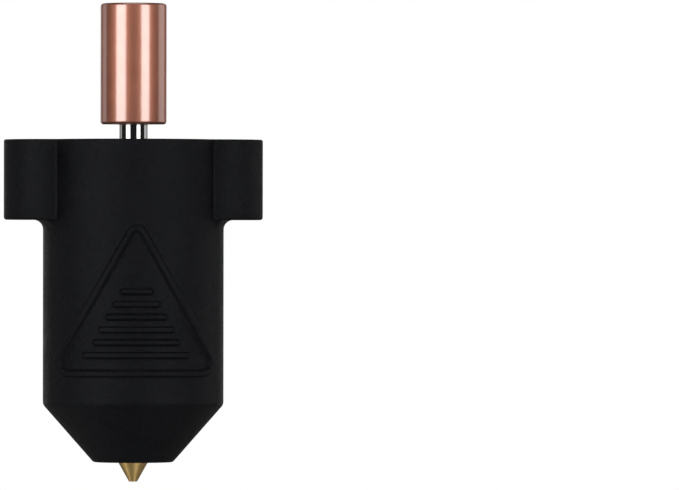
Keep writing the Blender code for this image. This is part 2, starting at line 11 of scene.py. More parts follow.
import bmesh
import bpy
import numpy as np
from mathutils import Matrix, Vector


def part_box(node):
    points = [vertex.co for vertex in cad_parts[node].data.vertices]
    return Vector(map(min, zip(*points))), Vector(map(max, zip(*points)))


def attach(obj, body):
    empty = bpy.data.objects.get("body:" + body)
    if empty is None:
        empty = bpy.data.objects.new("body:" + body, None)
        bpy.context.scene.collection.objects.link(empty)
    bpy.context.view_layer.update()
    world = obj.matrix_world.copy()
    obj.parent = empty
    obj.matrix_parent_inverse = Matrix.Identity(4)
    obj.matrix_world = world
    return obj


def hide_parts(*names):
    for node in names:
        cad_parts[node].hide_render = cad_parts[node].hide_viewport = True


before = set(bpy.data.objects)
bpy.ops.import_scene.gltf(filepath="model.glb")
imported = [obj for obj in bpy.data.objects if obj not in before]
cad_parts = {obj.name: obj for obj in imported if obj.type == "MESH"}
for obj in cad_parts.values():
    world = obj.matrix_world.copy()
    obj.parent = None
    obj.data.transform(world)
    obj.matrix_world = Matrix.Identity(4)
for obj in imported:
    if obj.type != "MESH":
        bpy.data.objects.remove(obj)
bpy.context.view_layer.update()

MM = 0.001
MERGE_DISTANCE = 1e-6  # in metres
TURN_SEGMENTS = 144
CREASE_DEG = 38.0
BEVEL_ABOVE_DEG = 50.0
GAP = 0.05  # between neighbouring solids, as in the CAD
CUT_MARGIN = 1.0  # how far a cutting tool stands past the piece
FILAMENT_R = 1.0
TINY = 1e-6


def extent(node):
    """A CAD node's lowest and highest corner at rest."""
    low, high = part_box(node)
    return Vector(low) / MM, Vector(high) / MM


def middle_of(low, high, axes):
    """The middle between two corners, along the two axes named."""
    return tuple((getattr(low, axis) + getattr(high, axis)) / 2 for axis in axes)


# --- materials ---

class Surface:
    """A Principled material with short calls for the procedural detail that its maker adds."""

    def __init__(self, name, colour, roughness, metallic=0.0, specular=0.5, coat=0.0):
        self.material = bpy.data.materials.new(name)
        self.material.use_nodes = True
        self.tree = self.material.node_tree
        self.shader = self.tree.nodes["Principled BSDF"]
        self.shader.inputs["Base Color"].default_value = (*colour, 1.0)
        self.shader.inputs["Roughness"].default_value = roughness
        self.shader.inputs["Metallic"].default_value = metallic
        self.shader.inputs["Specular IOR Level"].default_value = specular
        self.shader.inputs["Coat Weight"].default_value = coat
        self.place = self.tree.nodes.new("ShaderNodeTexCoord").outputs["Object"]
        self.bump_in = None

    def link(self, source, target):
        self.tree.links.new(source, target)

    def stretched(self, x=1.0, y=1.0, z=1.0):
        """The place on the object, scaled along each axis."""
        node = self.tree.nodes.new("ShaderNodeMapping")
        node.inputs["Scale"].default_value = (x, y, z)
        self.link(self.place, node.inputs["Vector"])
        return node.outputs["Vector"]

    def noise(self, size_mm, detail=3.0, roughness=0.55, vector=None):
        """Noise whose features are about size_mm across."""
        node = self.tree.nodes.new("ShaderNodeTexNoise")
        node.inputs["Scale"].default_value = 1.0 / (size_mm * MM)
        node.inputs["Detail"].default_value = detail
        node.inputs["Roughness"].default_value = roughness
        self.link(vector or self.place, node.inputs["Vector"])
        return node.outputs["Fac"]

    def turning_lines(self, pitch_mm):
        """Lines round the Z axis, irregular along it, as a lathe tool leaves them."""
        parts = self.tree.nodes.new("ShaderNodeSeparateXYZ")
        self.link(self.place, parts.inputs["Vector"])
        node = self.tree.nodes.new("ShaderNodeTexNoise")
        node.noise_dimensions = "1D"
        node.inputs["Scale"].default_value = 1.0 / (pitch_mm * MM)
        self.link(parts.outputs["Z"], node.inputs["W"])
        return node.outputs["Fac"]

    def cells(self, size_mm, vector):
        """Cells about size_mm across, dark in their middles."""
        node = self.tree.nodes.new("ShaderNodeTexVoronoi")
        node.inputs["Scale"].default_value = 1.0 / (size_mm * MM)
        self.link(vector, node.inputs["Vector"])
        return node.outputs["Distance"]

    def ranged(self, source, low, high, from_low=0.3, from_high=0.7):
        """Carry source from its own range to low and high."""
        node = self.tree.nodes.new("ShaderNodeMapRange")
        node.inputs["From Min"].default_value = from_low
        node.inputs["From Max"].default_value = from_high
        node.inputs["To Min"].default_value = low
        node.inputs["To Max"].default_value = high
        self.link(source, node.inputs["Value"])
        return node.outputs["Result"]

    def product(self, first, second):
        node = self.tree.nodes.new("ShaderNodeMath")
        node.operation = "MULTIPLY"
        self.link(first, node.inputs[0])
        self.link(second, node.inputs[1])
        return node.outputs["Value"]

    def colours(self, source, dark, light, from_low=0.35, from_high=0.65):
        """Drive the base colour from dark to light as source rises."""
        node = self.tree.nodes.new("ShaderNodeValToRGB")
        node.color_ramp.elements[0].position = from_low
        node.color_ramp.elements[0].color = (*dark, 1.0)
        node.color_ramp.elements[1].position = from_high
        node.color_ramp.elements[1].color = (*light, 1.0)
        self.link(source, node.inputs["Fac"])
        self.link(node.outputs["Color"], self.shader.inputs["Base Color"])

    def roughness(self, source, low, high):
        """Drive the roughness from low to high as source rises."""
        self.link(self.ranged(source, low, high), self.shader.inputs["Roughness"])

    def bump(self, source, height_mm):
        """Raise the surface by source times height_mm; calls stack up."""
        node = self.tree.nodes.new("ShaderNodeBump")
        node.inputs["Distance"].default_value = height_mm * MM
        self.link(source, node.inputs["Height"])
        if self.bump_in:
            self.link(self.bump_in, node.inputs["Normal"])
        self.bump_in = node.outputs["Normal"]
        self.link(self.bump_in, self.shader.inputs["Normal"])


SMOOTHEST_SHARE = 0.94
ROUGHEST_SHARE = 1.07
GRAIN_SHARE = 0.35


def turned_metal(name, dark, light, roughness, line_mm, line_height_mm,
                 coat=0.0, coat_roughness=0.1, coat_ior=1.5):
    """Metal from a lathe: fine lines round the axis, cloudy tarnish, smudged roughness and a fine grain."""
    made = Surface(name, light, roughness, metallic=1.0, coat=coat)
    made.shader.inputs["Coat Roughness"].default_value = coat_roughness
    made.shader.inputs["Coat IOR"].default_value = coat_ior
    clouds = made.noise(size_mm=2.6, detail=4.0)
    lines = made.turning_lines(line_mm)
    made.colours(clouds, dark, light)
    smudges = made.noise(size_mm=0.9, detail=5.0, vector=made.stretched(z=0.6))
    made.roughness(smudges, low=roughness * SMOOTHEST_SHARE, high=roughness * ROUGHEST_SHARE)
    made.bump(lines, line_height_mm)
    made.bump(made.noise(size_mm=0.35, detail=4.0), height_mm=line_height_mm * GRAIN_SHARE)
    return made.material


def silicone_material():
    """Moulded silicone rubber: near black, with a fine matt grain, faint clouds and uneven patches."""
    made = Surface("silicone_black", colour=(0.0026, 0.0028, 0.0034), roughness=0.5, specular=0.235)
    made.shader.inputs["Specular Tint"].default_value = (0.88, 0.90, 1.0, 1.0)
    grain = made.noise(size_mm=0.20, detail=4.0, roughness=0.65)
    clouds = made.noise(size_mm=4.5, detail=4.0, roughness=0.6)
    patches = made.noise(size_mm=1.1, detail=3.0, roughness=0.6)
    speckle = made.product(made.ranged(grain, low=0.55, high=1.45), made.ranged(clouds, low=0.75, high=1.25))
    tone = made.product(speckle, made.ranged(patches, low=0.75, high=1.25))
    made.colours(tone, dark=(0.0005, 0.0006, 0.0009), light=(0.0044, 0.0047, 0.0058),
                 from_low=0.5, from_high=1.6)
    made.roughness(clouds, low=0.44, high=0.54)
    made.bump(grain, height_mm=0.070)
    made.bump(patches, height_mm=0.095)
    return made.material


def ceramic_material():
    """Fired alumina: off-white and finely specked."""
    made = Surface("alumina", colour=(0.83, 0.81, 0.76), roughness=0.5)
    specks = made.noise(size_mm=0.4, detail=5.0)
    made.colours(specks, dark=(0.74, 0.71, 0.65), light=(0.87, 0.85, 0.81))
    made.roughness(specks, low=0.42, high=0.6)
    made.bump(specks, height_mm=0.02)
    return made.material


def mica_material():
    """Mica sheet: brown flakes pressed flat."""
    made = Surface("mica_sheet", colour=(0.45, 0.37, 0.26), roughness=0.5)
    flakes = made.cells(size_mm=0.7, vector=made.stretched(z=4.0))
    made.colours(flakes, dark=(0.30, 0.23, 0.15), light=(0.56, 0.47, 0.34), from_low=0.1, from_high=0.8)
    made.roughness(made.noise(size_mm=0.5), low=0.35, high=0.65)
    made.bump(made.noise(size_mm=0.25, vector=made.stretched(z=7.0)), height_mm=0.04)
    return made.material


def wool_material():
    """Ceramic fibre paper: soft, pale and fibrous round the can."""
    made = Surface("ceramic_fibre", colour=(0.78, 0.75, 0.68), roughness=0.95, specular=0.2)
    lie = made.stretched(x=0.5, y=0.5, z=2.2)
    fibres = made.noise(size_mm=0.3, detail=6.0, roughness=0.7, vector=lie)
    made.colours(fibres, dark=(0.62, 0.58, 0.50), light=(0.86, 0.83, 0.77))
    made.roughness(fibres, low=0.85, high=1.0)
    made.bump(fibres, height_mm=0.12)
    return made.material


def rolled_steel_material():
    """Rolled sheet steel: long fine strokes along X."""
    made = Surface("rolled_steel", colour=(0.55, 0.54, 0.52), roughness=0.34, metallic=1.0)
    strokes = made.noise(size_mm=0.22, detail=5.0, vector=made.stretched(x=0.06))
    made.colours(made.noise(size_mm=3.0), dark=(0.46, 0.45, 0.43), light=(0.60, 0.59, 0.57))
    made.roughness(strokes, low=0.27, high=0.44)
    made.bump(strokes, height_mm=0.004)
    return made.material


def black_oxide_material():
    """Blackened steel, a little worn and oily."""
    made = Surface("black_oxide", colour=(0.035, 0.034, 0.036), roughness=0.38, metallic=0.85)
    wear = made.noise(size_mm=0.5, detail=5.0)
    made.colours(wear, dark=(0.020, 0.020, 0.022), light=(0.060, 0.056, 0.054))
    made.roughness(wear, low=0.30, high=0.50)
    made.bump(made.noise(size_mm=0.12), height_mm=0.006)
    return made.material


COPPER = turned_metal("polished_copper", dark=(0.94, 0.355, 0.225), light=(0.96, 0.385, 0.25),
                      roughness=0.50, line_mm=0.10, line_height_mm=0.0012,
                      coat=1.0, coat_roughness=0.17, coat_ior=3.0)
STEEL = turned_metal("polished_steel", dark=(0.66, 0.655, 0.64), light=(0.74, 0.735, 0.72),
                     roughness=0.08, line_mm=0.08, line_height_mm=0.0004)
NICKEL = turned_metal("satin_nickel", dark=(0.58, 0.54, 0.48), light=(0.70, 0.66, 0.60),
                      roughness=0.30, line_mm=0.09, line_height_mm=0.003)
BRASS = turned_metal("turned_brass", dark=(0.92, 0.62, 0.22), light=(0.98, 0.70, 0.29),
                     roughness=0.40, line_mm=0.07, line_height_mm=0.002)
CAN_STEEL = turned_metal("can_steel", dark=(0.50, 0.485, 0.46), light=(0.62, 0.61, 0.59),
                         roughness=0.27, line_mm=0.12, line_height_mm=0.002)
SILICONE = silicone_material()
CERAMIC = ceramic_material()
MICA = mica_material()
WOOL = wool_material()
PLATE = rolled_steel_material()
OXIDE = black_oxide_material()


# --- mesh helpers ---

def mesh_object(name, points, faces, material, crease_deg=CREASE_DEG):
    """A closed piece from points. Points that meet are merged and its faces are turned outwards."""
    mesh = bpy.data.meshes.new(name)
    mesh.from_pydata((np.asarray(points, dtype=float) * MM).tolist(), [], faces)
    mended(mesh)
    mesh.materials.append(material)
    obj = bpy.data.objects.new(name, mesh)
    bpy.context.scene.collection.objects.link(obj)
    return shaded(obj, crease_deg)


def mended(mesh):
    """Merge points that meet, dissolve slivers and turn the faces outwards."""
    work = bmesh.new()
    work.from_mesh(mesh)
    bmesh.ops.remove_doubles(work, verts=work.verts, dist=MERGE_DISTANCE)
    bmesh.ops.triangulate(work, faces=[face for face in work.faces if len(face.verts) > 4])
    bmesh.ops.dissolve_degenerate(work, edges=work.edges, dist=MERGE_DISTANCE)
    bmesh.ops.recalc_face_normals(work, faces=work.faces)
    work.to_mesh(mesh)
    work.free()


def shaded(obj, crease_deg=CREASE_DEG):
    """Shade smooth, but keep edges sharper than crease_deg."""
    obj.data.shade_smooth()
    obj.data.set_sharp_from_angle(angle=math.radians(crease_deg))
    return obj


def grid_faces(columns, levels):
    """Quads of a grid that closes both ways."""
    column, level = np.meshgrid(np.arange(columns), np.arange(levels), indexing="ij")
    next_column = (column + 1) % columns
    next_level = (level + 1) % levels
    quads = np.stack([column * levels + level, next_column * levels + level,
                      next_column * levels + next_level, column * levels + next_level], axis=-1)
    return quads.reshape(-1, 4).tolist()


def rounded(corners, steps=4):
    """A closed outline whose corners (a, b, radius) are rounded by arcs."""
    points = []
    for index, (a, b, radius) in enumerate(corners):
        corner = Vector((a, b))
        if radius <= 0:
            points.append((a, b))
            continue
        before = (Vector(corners[index - 1][:2]) - corner).normalized()
        after = (Vector(corners[(index + 1) % len(corners)][:2]) - corner).normalized()
        half_angle = before.angle(after) / 2
        setback = radius / math.tan(half_angle)
        centre = corner + (before + after).normalized() * (radius / math.sin(half_angle))
        start = corner + before * setback - centre
        turn = start.angle_signed(corner + after * setback - centre)
        for step in range(steps + 1):
            arm = Matrix.Rotation(-turn * step / steps, 2) @ start
            points.append(tuple(centre + arm))
    return points


def turned(name, profile, material, shape=None, segments=TURN_SEGMENTS, at=(0.0, 0.0)):
    """Turn a closed (radius, z) profile round a vertical axis. shape(angle, radius, z) may change radii."""
    profile = np.array(profile, dtype=float)
    angles = np.linspace(0.0, math.tau, segments, endpoint=False)
    angle, radius = np.meshgrid(angles, profile[:, 0], indexing="ij")
    height = np.broadcast_to(profile[:, 1], radius.shape)
    if shape:
        radius = shape(angle, radius, height)
    points = np.stack([at[0] + radius * np.cos(angle), at[1] + radius * np.sin(angle), height], axis=-1)
    return mesh_object(name, points.reshape(-1, 3), grid_faces(*radius.shape), material)


def rows(radius, start, end, step):
    """Profile points along a straight wall, close enough for a thread to be cut in it."""
    count = max(2, round(abs(start - end) / step))
    return [(radius, z) for z in np.linspace(start, end, count + 1)]


# A groove has its full depth within 1/8 of the half pitch round its middle, and ends at 5/8 of it.
GROOVE_REACH = 1.25
GROOVE_SLOPE = 2.0
GROOVE_FADE = 1.5


def thread(pitch, depth, top, bottom, inside=False):
    """A shape for turned(): a V thread with flat crests between two heights, fading out at both ends."""
    outwards = 1.0 if inside else -1.0

    def grooved(angle, radius, height):
        phase = (height / pitch - angle / math.tau) % 1.0
        groove = np.clip(GROOVE_REACH - np.abs(phase * 2 - 1) * GROOVE_SLOPE, 0.0, 1.0) * depth
        fade_top = np.clip((top - height) / pitch * GROOVE_FADE, 0, 1)
        fade_bottom = np.clip((height - bottom) / pitch * GROOVE_FADE, 0, 1)
        return radius + groove * (fade_top * fade_bottom) * outwards
    return grooved


def bore_thread(pitch, depth, top, bottom, bore_r):
    """A thread in a bore only: the rest of the profile, at a larger radius, stays as it is."""
    inner = thread(pitch, depth, top, bottom, inside=True)

    def grooved_bore(angle, radius, height):
        return np.where(radius <= bore_r + TINY, inner(angle, radius, height), radius)
    return grooved_bore


def applied(obj):
    """Replace the mesh by its evaluated one and drop the modifiers."""
    bpy.context.view_layer.update()
    mesh = bpy.data.meshes.new_from_object(obj.evaluated_get(bpy.context.evaluated_depsgraph_get()))
    old = obj.data
    obj.modifiers.clear()
    obj.data = mesh
    bpy.data.meshes.remove(old)
    return obj


def cut(obj, *tools, operation="DIFFERENCE"):
    """Cut the tools out of obj, or join or intersect them with it, and remove them."""
    for tool in tools:
        step = obj.modifiers.new("cut", "BOOLEAN")
        step.operation = operation
        step.object = tool
        applied(obj)
        bpy.data.objects.remove(tool, do_unlink=True)
    mended(obj.data)
    return shaded(obj)


def prism(name, outline, low, high, material, bevel=0.0, at=(0.0, 0.0), axis="Z"):
    """A flat outline carried from low to high along Z, X or Y, with its edges bevelled."""
    count = len(outline)
    points = [(x + at[0], y + at[1], level) for level in (low, high) for x, y in outline]
    if axis == "Y":
        points = [(x, z, y) for x, y, z in points]
    if axis == "X":
        points = [(z, x, y) for x, y, z in points]
    faces = [list(range(count)), list(range(count, 2 * count))]
    faces += [[i, (i + 1) % count, count + (i + 1) % count, count + i] for i in range(count)]
    obj = mesh_object(name, points, faces, material)
    if bevel:
        rounding = obj.modifiers.new("rounding", "BEVEL")
        rounding.width = bevel * MM
        rounding.segments = 2
        rounding.limit_method = "ANGLE"
        rounding.angle_limit = math.radians(BEVEL_ABOVE_DEG)
        shaded(applied(obj))
    return obj


def circle(radius, count=48, at=(0.0, 0.0)):
    """Points round a circle."""
    angles = [math.tau * step / count for step in range(count)]
    return [(at[0] + radius * math.cos(angle), at[1] + radius * math.sin(angle)) for angle in angles]


def hexagon(across_flats, turn_deg=0.0, at=(0.0, 0.0)):
    """Corners of a regular hexagon."""
    corner_r = across_flats / 2 / math.cos(math.radians(30))
    angles = [math.radians(60 * corner + turn_deg) for corner in range(6)]
    return [(at[0] + corner_r * math.cos(angle), at[1] + corner_r * math.sin(angle)) for angle in angles]


def stands_for(piece, body, slot, *nodes):
    """Ride a piece on a body in place of CAD nodes."""
    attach(piece, body)
    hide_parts(*nodes)


# --- silicone sock ---

SOCK_LOW, SOCK_HIGH = extent("silicone_sock")
BODY_R = 9.55
CAVITY_R = 8.0
EAR_R = 4.8
EAR_X = SOCK_HIGH.x - EAR_R
EAR_BOTTOM_Z = -8.5
EAR_EDGE = 0.3
EAR_FILLET = 1.0
ROOT_FILLET = 0.3
POCKET_R = 3.4
POCKET_FLOOR_Z = -7.1
CONE_TOP_Z = -28.0
CONE_BEND_R = 0.8
CONE_WALL = 1.45
BOTTOM_R = 4.2
BOTTOM_EDGE = 0.5
OPENING_R = 3.65
RIM_EDGE = 0.2
LIP_EDGE = 0.15
SOCK_CREASE_DEG = 30.0

OUTLET_HALF = 3.0
OUTLET_DEPTH = 5.2
OUTLET_CORNER = 1.2
OUTLET_FROM_Y = 5.0
OUTLET_TO_Y = 12.0

BEAD_HEIGHT = 0.3
BEAD_APEX_Z = -7.9
BEAD_BASE_Z = -24.95
BEAD_HALF_BASE = 9.48
BEAD_APEX_R = 1.1
BEAD_FOOT_R = 1.5
BEAD_WIDTH = 0.65
RIB_LENGTHS = (11.2, 9.0, 7.9, 6.4, 4.9, 3.4)
RIB_FIRST_Z = -22.72
RIB_PITCH = 1.34
RIB_WIDTH = 0.57
RELIEF_EDGE = 0.11
RELIEF_BELOW_Z = -6.0

# The sock's rows are closest between these two levels, and its columns past an ear's end.
DENSE_TOP_Z = -9.7
DENSE_BOTTOM_Z = -25.3
DENSE_STEPS = 111
EAR_SPAN_DEG = 20
ROOT_SPAN_DEG = 35

# Keeps the cavity's last row under the pocket's floor where an angle has no pocket.
ROW_GAP = 0.01


def eared_radius(angle, ear_x, ear_r, round_r, fillet):
    """Distance from the axis to a round outline joined by fillets to two ears with half-round ends."""
    along = np.abs(np.cos(angle))
    across = np.abs(np.sin(angle))
    folded = np.arctan2(across, along)
    drop = ear_r + fillet
    reach = math.sqrt((round_r + fillet) ** 2 - drop ** 2)
    end_turn = math.atan2(ear_r, ear_x)
    fillet_start = math.atan2(ear_r, reach)
    fillet_end = math.atan2(drop, reach)
    end = ear_x * along + np.sqrt(np.maximum(ear_r ** 2 - (ear_x * across) ** 2, 0))
    side = ear_r / np.maximum(across, TINY)
    swing = fillet_end - folded
    hollow = (round_r + fillet) * np.cos(swing)
    hollow = hollow - np.sqrt(np.maximum(fillet ** 2 - ((round_r + fillet) * np.sin(swing)) ** 2, 0))
    radius = np.where(folded < end_turn, end, side)
    radius = np.where(folded > fillet_start, hollow, radius)
    return np.where(folded > fillet_end, round_r, radius)


def spaced(ear_step, root_step, body_step):
    """Angles in degrees from an ear's middle towards the front or the rear, at three spacings."""
    return np.concatenate([np.arange(0, EAR_SPAN_DEG, ear_step),
                           np.arange(EAR_SPAN_DEG, ROOT_SPAN_DEG, root_step),
                           np.arange(ROOT_SPAN_DEG, 90, body_step)])


def sock_angles():
    """Angles of the sock's columns: closest over the patterned front and round the roots of the ears."""
    front = spaced(ear_step=2.0, root_step=0.6, body_step=0.65)
    rear = spaced(ear_step=2.0, root_step=0.75, body_step=2.5)
    right = np.concatenate([-np.append(front, 90.0)[::-1], rear[1:], [90.0]])
    left = 180 - right[1:-1][::-1]
    return np.radians(np.concatenate([right, left]))


def bead_distance(x, z):
    """Distance to the middle line of the triangular bead, apex up, whose corners are rounded."""
    lean = math.atan2(BEAD_HALF_BASE, BEAD_APEX_Z - BEAD_BASE_Z)
    across = np.abs(x)
    side = (across - (BEAD_APEX_Z - z) * math.tan(lean)) * math.cos(lean)
    signed = np.maximum(side, BEAD_BASE_Z - z)
    above = z - BEAD_APEX_Z + BEAD_APEX_R / math.sin(lean)
    past_apex = above * math.cos(lean) > across * math.sin(lean)
    signed = np.where(past_apex, np.hypot(across, above) - BEAD_APEX_R, signed)
    out = across - BEAD_HALF_BASE + BEAD_FOOT_R / math.tan((math.pi / 2 - lean) / 2)
    above = z - BEAD_BASE_Z - BEAD_FOOT_R
    past_foot = (out > 0) & (above * math.cos(lean) < out * math.sin(lean))
    signed = np.where(past_foot, np.hypot(out, above) - BEAD_FOOT_R, signed)
    return np.abs(signed + BEAD_WIDTH / 2)


def soft_step(distance, half_width):
    """1 inside half_width, 0 outside, with a rounded slope RELIEF_EDGE wide to each side of it."""
    share = np.clip((half_width + RELIEF_EDGE - distance) / (2 * RELIEF_EDGE), 0, 1)
    return share * share * (3 - 2 * share)


def relief(x, z):
    """Height of the front's raised pattern: the bead, and ribs that get shorter towards its apex."""
    height = soft_step(bead_distance(x, z), BEAD_WIDTH / 2)
    for row, length in enumerate(RIB_LENGTHS):
        level = RIB_FIRST_Z + row * RIB_PITCH
        past_end = np.maximum(np.abs(x) - (length - RIB_WIDTH) / 2, 0)
        height = np.maximum(height, soft_step(np.hypot(past_end, z - level), RIB_WIDTH / 2))
    return height * BEAD_HEIGHT


def after(start, end, steps):
    """Even steps from start to end, without the start itself."""
    return np.linspace(start, end, steps + 1)[1:]


def quarter_turn(steps):
    """Even steps of a quarter turn, without its start."""
    return after(0, math.pi / 2, steps)


def sock_outside(outer):
    """Profile (radius, z) from the rim's rounded edge down over an ear's foot to the cone's top."""
    shrink = min(1.0, (outer - BODY_R) / (EAR_EDGE + EAR_FILLET))
    edge = EAR_EDGE * shrink
    fillet = EAR_FILLET * shrink
    points = [(outer - RIM_EDGE + RIM_EDGE * math.sin(a), -RIM_EDGE + RIM_EDGE * math.cos(a))
              for a in quarter_turn(4)]
    points += [(outer, z) for z in after(-RIM_EDGE, EAR_BOTTOM_Z + edge, 8)]
    points += [(outer - edge + edge * math.cos(a), EAR_BOTTOM_Z + edge - edge * math.sin(a))
               for a in quarter_turn(4)]
    points += [(r, EAR_BOTTOM_Z) for r in after(outer - edge, BODY_R + fillet, 3)]
    points += [(BODY_R + fillet - fillet * math.sin(a), EAR_BOTTOM_Z - fillet + fillet * math.cos(a))
               for a in quarter_turn(6)]
    points += [(BODY_R, z) for z in after(EAR_BOTTOM_Z - fillet, DENSE_TOP_Z, 7)]
    points += [(BODY_R, z) for z in after(DENSE_TOP_Z, DENSE_BOTTOM_Z, DENSE_STEPS)]
    above_bend = 0.35
    points += [(BODY_R, z) for z in after(DENSE_BOTTOM_Z, CONE_TOP_Z + above_bend, 5)]
    return points


def sock_cone(slope):
    """Profile of the outside from the bend at the cone's top down to the rounded lower edge."""
    below_bend = 0.6
    above_edge = 0.7
    levels = np.linspace(CONE_TOP_Z - below_bend, SOCK_LOW.z + above_edge, 9)
    lean = math.atan(slope)
    return cone_bend(lean) + [(BODY_R + (z - CONE_TOP_Z) * slope, z) for z in levels] + lower_edges(lean)


def cone_bend(lean):
    """The rounded bend from the straight wall into the cone."""
    setback = CONE_BEND_R * math.tan(lean / 2)
    centre_r = BODY_R - CONE_BEND_R
    centre_z = CONE_TOP_Z + setback
    return [(centre_r + CONE_BEND_R * math.cos(a), centre_z - CONE_BEND_R * math.sin(a))
            for a in np.linspace(0, lean, 5)]


def lower_edges(lean):
    """The cone's rounded lower edge, the flat bottom, and the rounded edge into the opening."""
    bottom = SOCK_LOW.z
    turn = math.pi / 2 - lean
    setback = BOTTOM_EDGE * math.tan(turn / 2)
    centre_r = BOTTOM_R - setback
    centre_z = bottom + BOTTOM_EDGE
    outer = [(centre_r + BOTTOM_EDGE * math.cos(lean + a), centre_z - BOTTOM_EDGE * math.sin(lean + a))
             for a in np.linspace(0, turn, 6)]
    inner = [(OPENING_R + LIP_EDGE - LIP_EDGE * math.sin(a), bottom + LIP_EDGE - LIP_EDGE * math.cos(a))
             for a in np.linspace(0, math.pi / 2, 4)]
    return outer + inner


def sock_inside(inner, slope):
    """Profile of the inside, from the opening up through the cavity and a pocket to the rim."""
    inset = CONE_WALL * math.sqrt(1 + slope ** 2)
    cone_top = CONE_TOP_Z - (BODY_R - inset - CAVITY_R) / slope
    cone_bottom = CONE_TOP_Z - (BODY_R - inset - OPENING_R) / slope
    points = [(OPENING_R, z) for z in np.linspace(SOCK_LOW.z + LIP_EDGE, cone_bottom, 4)]
    points += [(r, cone_bottom + (cone_top - cone_bottom) * (r - OPENING_R) / (CAVITY_R - OPENING_R))
               for r in after(OPENING_R, CAVITY_R, 7)]
    points += [(CAVITY_R, z) for z in after(cone_top, POCKET_FLOOR_Z - ROW_GAP, 9)]
    points += [(r, POCKET_FLOOR_Z) for r in after(CAVITY_R, inner, 3)]
    points += [(inner, z) for z in after(POCKET_FLOOR_Z, -LIP_EDGE, 6)]
    points += [(inner + LIP_EDGE - LIP_EDGE * math.cos(a), -LIP_EDGE + LIP_EDGE * math.sin(a))
               for a in quarter_turn(3)]
    return points


def sock_column(outer, inner):
    """Closed profile at one angle, from the rim's middle down the outside and back up the inside."""
    slope = (BODY_R - BOTTOM_R) / (CONE_TOP_Z - SOCK_LOW.z)
    rim = [(r, 0.0) for r in np.linspace((inner + outer) / 2, outer - RIM_EDGE, 3)]
    return rim + sock_outside(outer) + sock_cone(slope) + sock_inside(inner, slope)


def silicone_sock():
    """The sock: its ears, pockets, cone and raised pattern in one grid, then the outlet cut at the rear."""
    angles = sock_angles()
    outer = eared_radius(angles, EAR_X, EAR_R, BODY_R, ROOT_FILLET)
    inner = eared_radius(angles, EAR_X, POCKET_R, CAVITY_R, ROOT_FILLET)
    profile = np.array([sock_column(*radii) for radii in zip(outer, inner)])
    radius = profile[:, :, 0]
    height = profile[:, :, 1]
    x = radius * np.cos(angles)[:, None]
    y = radius * np.sin(angles)[:, None]
    outside = radius > (CAVITY_R + BODY_R) / 2
    on_front = (y < 0) & outside & (height < RELIEF_BELOW_Z) & (height > CONE_TOP_Z)
    raised = np.where(on_front, relief(x, height), 0.0)
    scale = (radius + raised) / radius
    points = np.stack([x * scale, y * scale, height], axis=-1)
    faces = grid_faces(*radius.shape)
    sock = mesh_object("sock_skin", points.reshape(-1, 3), faces, SILICONE, SOCK_CREASE_DEG)
    outline = rounded([(-OUTLET_HALF, CUT_MARGIN, 0), (OUTLET_HALF, CUT_MARGIN, 0),
                       (OUTLET_HALF, -OUTLET_DEPTH, OUTLET_CORNER),
                       (-OUTLET_HALF, -OUTLET_DEPTH, OUTLET_CORNER)], steps=8)
    cut(sock, prism("notch_tool", outline, OUTLET_FROM_Y, OUTLET_TO_Y, SILICONE, axis="Y"))
    shaded(sock, SOCK_CREASE_DEG)
    stands_for(sock, "sock", "silicone", "silicone_sock")


# --- cold side ---

def cooling_sleeve():
    """The copper tube: a filament bore with a funnel at the top, and a wider bore for the throat."""
    low, high = extent("cooling_tube")
    throat_end = extent("throat_tube")[1]
    throat_r = throat_end.x + GAP
    step = throat_end.z + GAP
    edge = 0.32
    funnel_r = 1.9
    funnel_bottom = high.z - 1.6
    profile = rounded([(high.x, high.z, edge), (high.x, low.z, edge), (throat_r, low.z, 0.18),
                       (throat_r, step, 0), (FILAMENT_R, step, 0), (FILAMENT_R, funnel_bottom, 0.3),
                       (funnel_r, high.z, 0.12)], steps=6)
    stands_for(turned("cooling_sleeve", profile, COPPER), "hot_end", "copper", "cooling_tube")


def throat():
    """The thin polished tube between the copper tube and the foot."""
    low, high = extent("throat_tube")
    top_edge = 0.12
    edge = 0.05
    profile = rounded([(high.x, high.z, top_edge), (high.x, low.z, edge), (FILAMENT_R, low.z, 0),
                       (FILAMENT_R, high.z, edge)], steps=3)
    stands_for(turned("throat_polished", profile, STEEL), "hot_end", "polished_steel", "throat_tube")


# --- nozzle ---

HEX_TOP_Z = -28.9
HEX_BOTTOM_Z = -31.9
HEX_ACROSS = 6.0
SHANK_R = 2.95
NECK_R = 2.5
TIP_R = 0.43
TIP_EDGE = 0.08
TIP_BORE_R = 0.2
TIP_BORE_EDGE = 0.02
CONE_HALF_DEG = 29.2
CONE_STEP = 0.02


